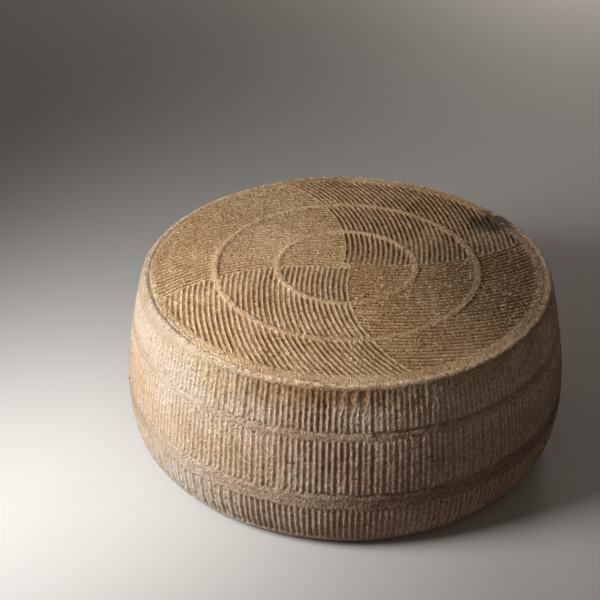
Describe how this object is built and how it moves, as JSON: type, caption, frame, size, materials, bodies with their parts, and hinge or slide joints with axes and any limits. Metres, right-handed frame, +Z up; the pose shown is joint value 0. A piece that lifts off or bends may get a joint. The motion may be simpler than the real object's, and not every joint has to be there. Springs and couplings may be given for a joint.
{
  "type": "whole pecorino cheese wheel",
  "caption": "Whole hard cheese wheel with a ribbed rind: bands of upright ribs round a bulging side, and a pinwheel of curved ribs on a slightly crowned top. Lies flat on its base.",
  "frame": {"origin": "centre of the flat base that the wheel rests on", "axes": "+Z up along the wheel's axis, towards the face with the pinwheel of ribs; +X and +Y in the plane of the base, along the first stretch of two of the four bare arms of that pinwheel"},
  "size_m": [0.22, 0.22, 0.091],
  "materials": {
    "rind": "matte"
  },
  "bodies": {
    "root": {"pecorino_wheel": "rind"}
  },
  "joints": []
}
